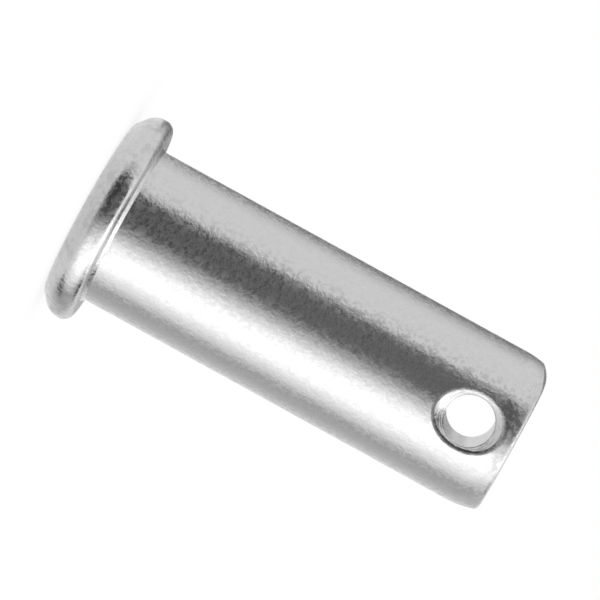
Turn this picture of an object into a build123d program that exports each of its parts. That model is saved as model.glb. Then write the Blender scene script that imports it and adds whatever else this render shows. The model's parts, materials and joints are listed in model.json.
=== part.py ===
"""Clevis pin: one steel piece with an upset head, a cross hole for its cotter and a dressed tip.

Millimetres, +Z up. The pin stands on its head. The origin is the centre of the head's outer
face, +Z runs along the shank to the tip, and the cross hole lies along Y.
"""

import os
from math import asin, hypot, radians, sin, sqrt, tan

from build123d import *

# Shank
shank_diameter = 9.5
length_under_head = 25.3

# Head, as the upsetting die leaves it: a flat face, a sloping shoulder, a rolled rim, and a
# 45 degree cone in the corner under it
head_overhang = 1.6
head_thickness = 2.15
shoulder_width = 1.05
shoulder_angle = 40
face_edge_radius = 0.8
shoulder_radius = 1.2
underside_radius = 0.6
neck_cone_width = 0.2

# Cross hole, countersunk at both mouths
cross_hole_diameter = 2.9
cross_hole_from_tip = 2.85
countersink_width = 0.67
countersink_angle = 110
mouth_edge_radius = 0.3

# Tip: the shank bends gently into a lead-in, and cropping the bar has rolled the end's edge
# over on the -X side
lead_in_length = 1.2
lead_in_angle = 14
lead_in_blend = 4.6
tip_edge_radius = 0.35
rollover_radius = 1.7
rollover_offset = 4
rollover_reach = 1.5
rollover_lift = 0.02

# Room that a cutting form has round the pin, the most of a wall that a rounding may take where
# both its ends are rounded and where one is, and how near two places are to count as touching
form_room = 0.5
wall_share = 0.48
mouth_share = 0.9
touch = 0.001

shank_radius = shank_diameter / 2
head_radius = shank_radius + head_overhang
face_radius = head_radius - shoulder_width
overall_length = head_thickness + length_under_head
cross_hole_radius = cross_hole_diameter / 2
cross_hole_height = overall_length - cross_hole_from_tip


def turned(*corners):
    """A solid turned about Z from (radius, height) corners, given as (radius, height, rounding)."""
    section = Plane.XZ * make_face(Polyline(*[corner[:2] for corner in corners], close=True))
    for radius, height, rounding in corners:
        if rounding:
            corner = section.vertices().sort_by_distance((radius, 0, height))[0]
            section = fillet(corner, rounding)
    return revolve(section, Axis.Z)


def headed_blank():
    """The head, the shank and its lead-in, before the hole is drilled and the tip's edge rolled."""
    shoulder_height = shoulder_width * tan(radians(shoulder_angle))
    rim_height = head_thickness - shoulder_height
    shoulder_turn = radians(90 - shoulder_angle)
    shoulder_limit = wall_share * rim_height / tan(shoulder_turn / 2)
    lead_in_turn = radians(lead_in_angle)
    blend_limit = wall_share * lead_in_length / tan(lead_in_turn / 2)
    end_radius = shank_radius - lead_in_length * tan(lead_in_turn)
    return turned(
        (0, 0, 0),
        (face_radius, 0, face_edge_radius),
        (head_radius, shoulder_height, min(shoulder_radius, shoulder_limit)),
        (head_radius, head_thickness, min(underside_radius, wall_share * rim_height)),
        (shank_radius + neck_cone_width, head_thickness, 0),
        (shank_radius, head_thickness + neck_cone_width, 0),
        (shank_radius, overall_length - lead_in_length, min(lead_in_blend, blend_limit)),
        (end_radius, overall_length, tip_edge_radius),
        (0, overall_length, 0),
    )


def cross_drill():
    """The drill and the countersinks that open its two mouths, all along Y."""
    slope = tan(radians(countersink_angle / 2))
    cone_length = (cross_hole_radius + countersink_width) / slope
    drill = Cylinder(cross_hole_radius, 2 * (shank_radius + form_room))
    for side in (1, -1):
        mouth_radius = cross_hole_radius + countersink_width + form_room * slope
        cone = Cone(mouth_radius, 0, cone_length + form_room)
        middle = shank_radius + form_room - (cone_length + form_room) / 2
        drill += Rot(0 if side < 0 else 180, 0, 0) * Pos(0, 0, -middle) * cone
    return Pos(0, 0, cross_hole_height) * Rot(90, 0, 0) * drill


def drilled(blank):
    """The blank with its cross hole, and the outer edge of each mouth rounded."""
    pin = blank - cross_drill()
    rims = [edge for edge in pin.edges() if is_mouth_rim(edge)]
    return fillet(rims, min(mouth_edge_radius, mouth_share * mouth_radius_limit()))


def mouth_radius_limit():
    """The rounding that would take up the whole countersink where it is narrowest.

    That is across the shank, because the shank's surface falls away there.
    """
    wall = radians(countersink_angle / 2)
    slope = tan(wall)
    drop = slope * shank_radius - cross_hole_radius - countersink_width
    span = 1 + slope**2
    across = (slope * sqrt(span * shank_radius**2 - drop**2) - drop) / span
    turn = radians(90) - wall + asin(across / shank_radius)
    return (across - cross_hole_radius) / (sin(wall) * tan(turn / 2))


def is_mouth_rim(edge):
    """Whether an edge is part of a mouth's outer rim, where the countersink meets the shank."""
    middle = edge @ 0.5
    from_axis = hypot(middle.X, middle.Z - cross_hole_height)
    widest = cross_hole_radius + countersink_width
    at_mouth = cross_hole_radius + touch < from_axis < widest + touch
    return at_mouth and abs(middle.Y) > shank_radius / 2


def rollover_form():
    """A turned form set off to +X, so that its rounded edge reaches the tip on the -X side alone.

    Below the shank's middle it widens to stand clear of the head.
    """
    edge_radius = rollover_offset + shank_radius - rollover_reach + rollover_radius
    clear_radius = rollover_offset + head_radius + form_room
    middle = head_thickness + length_under_head / 2
    top = overall_length + rollover_lift
    return Pos(rollover_offset, 0, 0) * turned(
        (0, -form_room, 0),
        (clear_radius, -form_room, 0),
        (clear_radius, middle, 0),
        (edge_radius, middle, 0),
        (edge_radius, top, rollover_radius),
        (0, top, 0),
    )


def clevis_pin():
    """The finished pin: headed, drilled, and then rolled over at its tip."""
    return drilled(headed_blank()) & rollover_form()


os.makedirs("parts", exist_ok=True)
pin = clevis_pin()
export_step(pin, "parts/clevis_pin.step")
print(f"clevis_pin: {pin.volume:.1f} mm3, {len(pin.faces())} faces, valid {pin.is_valid}")
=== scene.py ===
"""The looks of a bright tumbled stainless clevis pin, standing on its head in a pale studio.

Metres, in the pin's own frame: +Z runs from the head to the tip, and the cross hole lies along Y.
"""

import json
from math import cos, degrees, radians, sin

import bpy
from mathutils import Matrix, Vector


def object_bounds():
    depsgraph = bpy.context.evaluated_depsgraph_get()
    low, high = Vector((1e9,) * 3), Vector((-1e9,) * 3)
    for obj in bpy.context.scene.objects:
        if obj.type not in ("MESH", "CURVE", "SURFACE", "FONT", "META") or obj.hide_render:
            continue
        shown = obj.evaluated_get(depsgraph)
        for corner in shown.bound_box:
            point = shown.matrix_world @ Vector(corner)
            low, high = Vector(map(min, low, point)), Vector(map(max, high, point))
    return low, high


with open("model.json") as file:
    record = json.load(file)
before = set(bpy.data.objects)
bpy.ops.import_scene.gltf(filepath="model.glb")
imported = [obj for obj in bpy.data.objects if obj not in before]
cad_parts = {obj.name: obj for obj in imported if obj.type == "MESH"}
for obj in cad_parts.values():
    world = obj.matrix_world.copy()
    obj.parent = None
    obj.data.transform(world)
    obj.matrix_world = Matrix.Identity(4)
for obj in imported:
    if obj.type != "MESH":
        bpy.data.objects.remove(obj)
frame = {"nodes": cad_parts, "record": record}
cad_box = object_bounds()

MM = 0.001
mounts = {mount["name"]: mount for mount in frame["record"]["mounts"]}

# The pin's own sizes, from the frame
pin_length = cad_box[1].z
seat_height = mounts["head_seat"]["pos_m"][2]
hole_height = mounts["cross_hole"]["pos_m"][2]
bore_radius = mounts["cross_hole"]["dims"]["r_mm"] * MM

# The outer rim of each mouth, as far up the pin as the countersink reaches. It is an oval, longer
# than it is wide by rim_narrowing times, because the round shank falls away at its sides.
countersink_width = 0.67 * MM
rim_radius = bore_radius + countersink_width
rim_narrowing = 1.26

# Where each finish begins and ends, in millimetres. The head's finish ends near the seat, and the
# bore's finish and the drill's marks end outside the bore, each fading out between two distances.
head_finish_end = (-0.25, 0.05)
bore_finish_end = (0, 0.03)
drill_marks_end = (0.35, 0.5)

# Up the pin, the lead-in and the end face begin short of the tip. Across it, the painted shade on
# one side of a rim begins at -X of the middle. Each fades in between two distances.
lead_in_start = (-1.1, -0.3)
end_face_start = (-0.02, -0.01)
painted_shade_side_start = (-1.2, -0.2)

# Bands and lines about the seat, the edge of the bore and the rim: each fades in between the first
# two distances and out between the last two. Those at the bore's edge and the rim are painted shade.
seat_band = (-0.15, -0.03, 0, 0.02)
# Painted shade: a dark line along the edge where the drill meets the countersink
painted_drill_edge_band = (0.005, 0.02, 0.04, 0.08)
# Painted shade: a band round the rim of each mouth, used on one side only
painted_rim_band = (-0.12, -0.04, 0.08, 0.16)

# Roughness of the tumbled steel, and what is added to it in each place
tumbled_roughness = 0.14
speck_roughness = 0.19
lead_in_roughness = 0.16
end_roughness = 0.05
bore_roughness = -0.06
seat_roughness = 0.2

# How light the steel is, how much that varies, and how much darker some places are: the head's
# blotches, and the painted shade along the bore's edge and round one side of each rim
steel_tone = 0.59
tone_variation = 0.05
blotch_darkness = 0.08
# How dark the painted shade is along the edge where the drill meets the countersink
painted_drill_edge_shade = 0.22
# How dark the painted shade is on one side of each mouth's rim
painted_rim_shade = 0.22

# Heights of the bumps, in millimetres
grain_height = 0.006
ripple_height = 0.012
drill_mark_height = 0.012
facing_mark_height = 0.01

# Each pattern's fineness, in steps to the metre, with how many finer layers it has. Each layer is
# layer_strength times as strong as the one before it.
grain_pattern = (6500.0, 1.5)
ripple_pattern = (2600.0, 1.0)
speck_pattern = (3300.0, 2.0)
blotch_pattern = (1100.0, 3.0)
tone_pattern = (1500.0, 2.0)
tool_mark_pattern = (14000.0, 2.0)
layer_strength = 0.6

# Levels of their patterns, from 0 to 1, between which specks and blotches fade in
speck_levels = (0.44, 0.60)
blotch_levels = (0.5, 0.62)

# The studio round the pin: pale paper from the floor up to a bright ceiling, with panels before it.
# Each panel stands between bearings and between heights, in degrees, and fades in from the first
# to the second and out from the third to the fourth. The last number is its brightness. Bearings
# turn from the -Y side towards -X, once round from the first, and heights go up from level. A
# later panel hides an earlier one.
floor_level, wall_level, ceiling_level = 0.86, 0.95, 1.5
floor_to_wall, wall_to_ceiling = (-75, -40), (50, 95)
first_bearing = -170
panels = {
    "overhead soft box": ((-160, -118, -50, -2), (50, 64, 91, 92), 1.85),
    "dim side wall": ((-169, -104, -98, -84), (-44, -33, 44, 56), 0.54),
    "dim side wall's foot": ((-120, -106, -100, -86), (-44, -35, -20, -8), 0.18),
    "dim side wall's head": ((-148, -136, -118, -102), (30, 38, 47, 56), 0.14),
    "dim back wall": ((118, 172, 183, 186), (1, 4, 42, 54), 0.18),
    "dim back wall's foot": ((106, 168, 171, 176), (-5.5, -3, 2, 5), 0.2),
    "glow in the back wall": ((168, 174, 184, 190), (-16, -8, 3, 5), 0.74),
    "side soft box": ((-91, -46, 4, 8), (-48, -8, 91, 92), 1.95),
    "front flag": ((-52, 12, 46.5, 58.5), (-62, -42, 57, 68), 0.2),
    "front flag's foot": ((-10, 16, 46, 68), (-46, -30, -4.5, -2), 0.07),
    "front flag's head": ((-10, 18, 42, 60), (3, 8, 60, 72), 0.13),
}

# The paper on the floor, and how much of it the camera sees as plain white. The shadow shows in
# the rest.
floor_radius = 150 * MM
floor_sides = 96
paper_grey = 0.93
plain_white_share = 0.85

# The lamp overhead, with its power in watts
lamp_size = 250 * MM
lamp_height = 350 * MM
lamp_power = 0.25

# Camera: a long lens that looks at the pin from the cross hole's side, rolled so that the pin
# points down to the right
camera_distance = 290 * MM
camera_height = 19.5 * MM
camera_turn = radians(3.6)
camera_roll = radians(118.84)
aim = Vector((-1.11 * MM, 0, 13.0 * MM))
seen_width = 33.9 * MM
sensor_width = 36.0
nearest_seen, farthest_seen = 10 * MM, 10.0


class Value:
    """A number in a node tree. Sums, differences and products add their Math nodes."""

    def __init__(self, shader, socket):
        self.shader, self.socket = shader, socket

    def _maths(self, operation, first, second):
        node = self.shader.node("ShaderNodeMath", {"operation": operation}, {0: first, 1: second})
        return Value(self.shader, node.outputs[0])

    def __add__(self, other):
        return self._maths("ADD", self, other)

    def __radd__(self, other):
        return self._maths("ADD", other, self)

    def __sub__(self, other):
        return self._maths("SUBTRACT", self, other)

    def __rsub__(self, other):
        return self._maths("SUBTRACT", other, self)

    def __mul__(self, other):
        return self._maths("MULTIPLY", self, other)

    def __rmul__(self, other):
        return self._maths("MULTIPLY", other, self)

    def larger(self, other):
        """This value or the other, whichever is more."""
        return self._maths("MAXIMUM", self, other)

    def root(self):
        """The square root."""
        return self._maths("SQRT", self, 0.0)

    def angle_to(self, other):
        """The angle whose tangent is this value over the other."""
        return self._maths("ARCTAN2", self, other)

    def remainder(self, other):
        """What is left after whole numbers of the other, never negative."""
        return self._maths("FLOORED_MODULO", self, other)

    def arcsine(self):
        """The angle whose sine is this value."""
        return self._maths("ARCSINE", self, 0.0)

    def rise(self, start, end):
        """0 up to start and 1 from end on, with a smooth step between them."""
        node = self.shader.node(
            "ShaderNodeMapRange", {"interpolation_type": "SMOOTHSTEP"},
            {"Value": self, "From Min": start, "From Max": end, "To Min": 0.0, "To Max": 1.0},
        )
        return Value(self.shader, node.outputs["Result"])

    def between(self, first, second, third, fourth):
        """1 from the second value to the third, fading to 0 at the first and the fourth."""
        return self.rise(first, second) * (1 - self.rise(third, fourth))


class Shader:
    """The node tree of a material or a world, emptied, with one method that adds any node."""

    def __init__(self, owner):
        owner.use_nodes = True
        self.tree = owner.node_tree
        self.tree.nodes.clear()

    def node(self, kind, settings=None, inputs=None):
        """Add a node: its settings first, then the value or the link of each named input."""
        node = self.tree.nodes.new(kind)
        for name, setting in (settings or {}).items():
            setattr(node, name, setting)
        for name, given in (inputs or {}).items():
            socket = given.socket if isinstance(given, Value) else given
            if isinstance(socket, bpy.types.NodeSocket):
                self.tree.links.new(socket, node.inputs[name])
            else:
                node.inputs[name].default_value = socket
        return node

    def split(self, vector):
        """The three parts of a vector socket."""
        parts = self.node("ShaderNodeSeparateXYZ", inputs={"Vector": vector})
        return [Value(self, part) for part in parts.outputs]

    def pattern(self, place, fineness, layers):
        """A cloudy pattern between 0 and 1 over a vector socket."""
        node = self.node("ShaderNodeTexNoise", {"noise_dimensions": "3D"}, {
            "Vector": place, "Scale": fineness, "Detail": layers, "Roughness": layer_strength})
        return Value(self, node.outputs[0])


def grey(level):
    """An opaque colour of one level."""
    return (level, level, level, 1.0)


def about(place, distances):
    """The places at these distances, in millimetres, from a place."""
    return [place + distance * MM for distance in distances]


def from_axis_of(first, second):
    """How far a place is from an axis, from its two coordinates square to that axis."""
    return (first * first + second * second).root()


def light_studio():
    """The world: white to the camera, and the studio's panels to what the metal reflects."""
    world = bpy.data.worlds.new("studio")
    bpy.context.scene.world = world
    shader = Shader(world)
    x, y, z = shader.split(shader.node("ShaderNodeTexCoord").outputs["Generated"])
    turned = (0 - x).angle_to(0 - y) * degrees(1)
    bearing = (turned - first_bearing).remainder(360) + first_bearing
    height = z.arcsine() * degrees(1)
    surround = floor_level + height.rise(*floor_to_wall) * (wall_level - floor_level)
    surround = surround + height.rise(*wall_to_ceiling) * (ceiling_level - wall_level)
    for bearings, heights, brightness in panels.values():
        cover = bearing.between(*bearings) * height.between(*heights)
        surround = surround + cover * (brightness - surround)
    path = shader.node("ShaderNodeLightPath").outputs
    glossy = Value(shader, path["Is Glossy Ray"])
    mirrored = glossy.larger(Value(shader, path["Is Transmission Ray"]))
    strength = 1.0 + mirrored * (surround - 1.0)
    background = shader.node("ShaderNodeBackground", inputs={"Color": grey(1.0), "Strength": strength})
    shader.node("ShaderNodeOutputWorld", inputs={"Surface": background.outputs[0]})


def stainless_steel():
    """Bright tumbled stainless, with satin specks and a fine grain.

    The head has faint blotches, and the seat under it, the lead-in and the end are more satin. The
    bore is smoother and has no specks. The drill's marks reach into its mouths. Painted shade darkens
    the steel in a line where the drill meets the countersink, and round one side of each mouth's rim.
    The end has facing marks.
    """
    material = bpy.data.materials.new("tumbled_stainless")
    shader = Shader(material)
    place = shader.node("ShaderNodeTexCoord").outputs["Object"]
    x, y, z = shader.split(place)
    lift = z - hole_height
    from_pin = from_axis_of(x, y)
    from_hole = from_axis_of(x, lift)
    # The same, stretched across the pin so that the oval rim is a circle
    from_hole_stretched = from_axis_of(x * rim_narrowing, lift)

    on_head = 1 - z.rise(*about(seat_height, head_finish_end))
    on_seat = z.between(*about(seat_height, seat_band))
    near_end = z.rise(*about(pin_length, lead_in_start))
    on_end = z.rise(*about(pin_length, end_face_start))
    in_bore = 1 - from_hole.rise(*about(bore_radius, bore_finish_end))
    in_drill_marks = 1 - from_hole.rise(*about(bore_radius, drill_marks_end))
    # Painted shade along the bore's edge, where the drill meets the countersink
    on_painted_drill_edge_shade = from_hole.between(*about(bore_radius, painted_drill_edge_band))
    # Painted shade round one side of each mouth's rim, from -X of the middle
    on_painted_rim_band = from_hole_stretched.between(*about(rim_radius, painted_rim_band))
    on_painted_rim_shade = on_painted_rim_band * x.rise(*about(0, painted_shade_side_start))

    def tool_marks(radius, along):
        """Rings round an axis, half of them high and half of them deep."""
        rings = shader.node("ShaderNodeCombineXYZ", inputs={"X": radius, "Y": along})
        return shader.pattern(rings.outputs[0], *tool_mark_pattern) - 0.5

    height = shader.pattern(place, *grain_pattern) * grain_height
    height = height + shader.pattern(place, *ripple_pattern) * ripple_height
    height = height + in_drill_marks * tool_marks(from_hole, y) * drill_mark_height
    height = height + on_end * tool_marks(from_pin, z) * facing_mark_height
    bump = shader.node("ShaderNodeBump", inputs={"Strength": 1.0, "Distance": MM, "Height": height})

    specks = shader.pattern(place, *speck_pattern).rise(*speck_levels)
    roughness = tumbled_roughness + specks * (1 - in_bore) * speck_roughness
    roughness = roughness + near_end * lead_in_roughness + on_end * end_roughness
    roughness = roughness + in_bore * bore_roughness + on_seat * seat_roughness

    blotches = shader.pattern(place, *blotch_pattern).rise(*blotch_levels)
    tone = steel_tone + shader.pattern(place, *tone_pattern) * tone_variation
    tone = tone - on_head * blotches * blotch_darkness
    # Painted shade darkens the steel along the bore's edge and on one side of each mouth's rim
    tone = tone - on_painted_drill_edge_shade * painted_drill_edge_shade - on_painted_rim_shade * painted_rim_shade
    colour = shader.node("ShaderNodeCombineColor", inputs={"Red": tone, "Green": tone, "Blue": tone})
    steel = shader.node("ShaderNodeBsdfPrincipled", inputs={
        "Base Color": colour.outputs[0], "Metallic": 1.0, "Roughness": roughness,
        "Normal": bump.outputs["Normal"]})
    shader.node("ShaderNodeOutputMaterial", inputs={"Surface": steel.outputs[0]})
    return material


def floor_paper():
    """Matt white paper, most of it plain white to the camera so that the shadow on it is faint."""
    material = bpy.data.materials.new("floor_paper")
    shader = Shader(material)
    paper = shader.node("ShaderNodeBsdfDiffuse", inputs={"Color": grey(paper_grey)})
    white = shader.node("ShaderNodeEmission", inputs={"Color": grey(1.0), "Strength": 1.0})
    seen = Value(shader, shader.node("ShaderNodeLightPath").outputs["Is Camera Ray"])
    mixed = shader.node("ShaderNodeMixShader", inputs={
        0: seen * plain_white_share, 1: paper.outputs[0], 2: white.outputs[0]})
    shader.node("ShaderNodeOutputMaterial", inputs={"Surface": mixed.outputs[0]})
    return material


def lay_floor():
    """A round sheet of white paper under the pin."""
    bpy.ops.object.select_all(action="DESELECT")
    bpy.ops.mesh.primitive_circle_add(vertices=floor_sides, radius=floor_radius, fill_type="NGON")
    floor = bpy.context.object
    floor.name = "floor"
    floor.data.materials.append(floor_paper())
    floor.visible_glossy = False


def hang_lamp():
    """A broad soft lamp overhead, which gives the pin its faint shadow on the floor."""
    light = bpy.data.lights.new("overhead", "AREA")
    light.shape = "DISK"
    light.size = lamp_size
    light.energy = lamp_power
    lamp = bpy.data.objects.new("overhead", light)
    lamp.location = (0, 0, lamp_height)
    lamp.visible_glossy = False
    bpy.context.scene.collection.objects.link(lamp)


def set_camera():
    """The camera, aimed at the pin's middle and rolled about its own line of sight."""
    lens = bpy.data.cameras.new("camera")
    lens.sensor_width = sensor_width
    lens.lens = sensor_width * camera_distance / seen_width
    lens.clip_start = nearest_seen
    lens.clip_end = farthest_seen
    camera = bpy.data.objects.new("camera", lens)
    side, back = -sin(camera_turn) * camera_distance, -cos(camera_turn) * camera_distance
    stand = Vector((side, back, camera_height))
    sight = (aim - stand).to_track_quat("-Z", "Y").to_matrix().to_4x4()
    camera.matrix_world = Matrix.Translation(stand) @ sight @ Matrix.Rotation(camera_roll, 4, "Z")
    bpy.context.scene.collection.objects.link(camera)
    bpy.context.scene.camera = camera


bpy.context.scene.view_settings.view_transform = "Standard"
pin = frame["nodes"]["clevis_pin"]
steel = stainless_steel()
for slot in pin.material_slots:
    slot.material = steel
light_studio()
lay_floor()
hang_lamp()
set_camera()
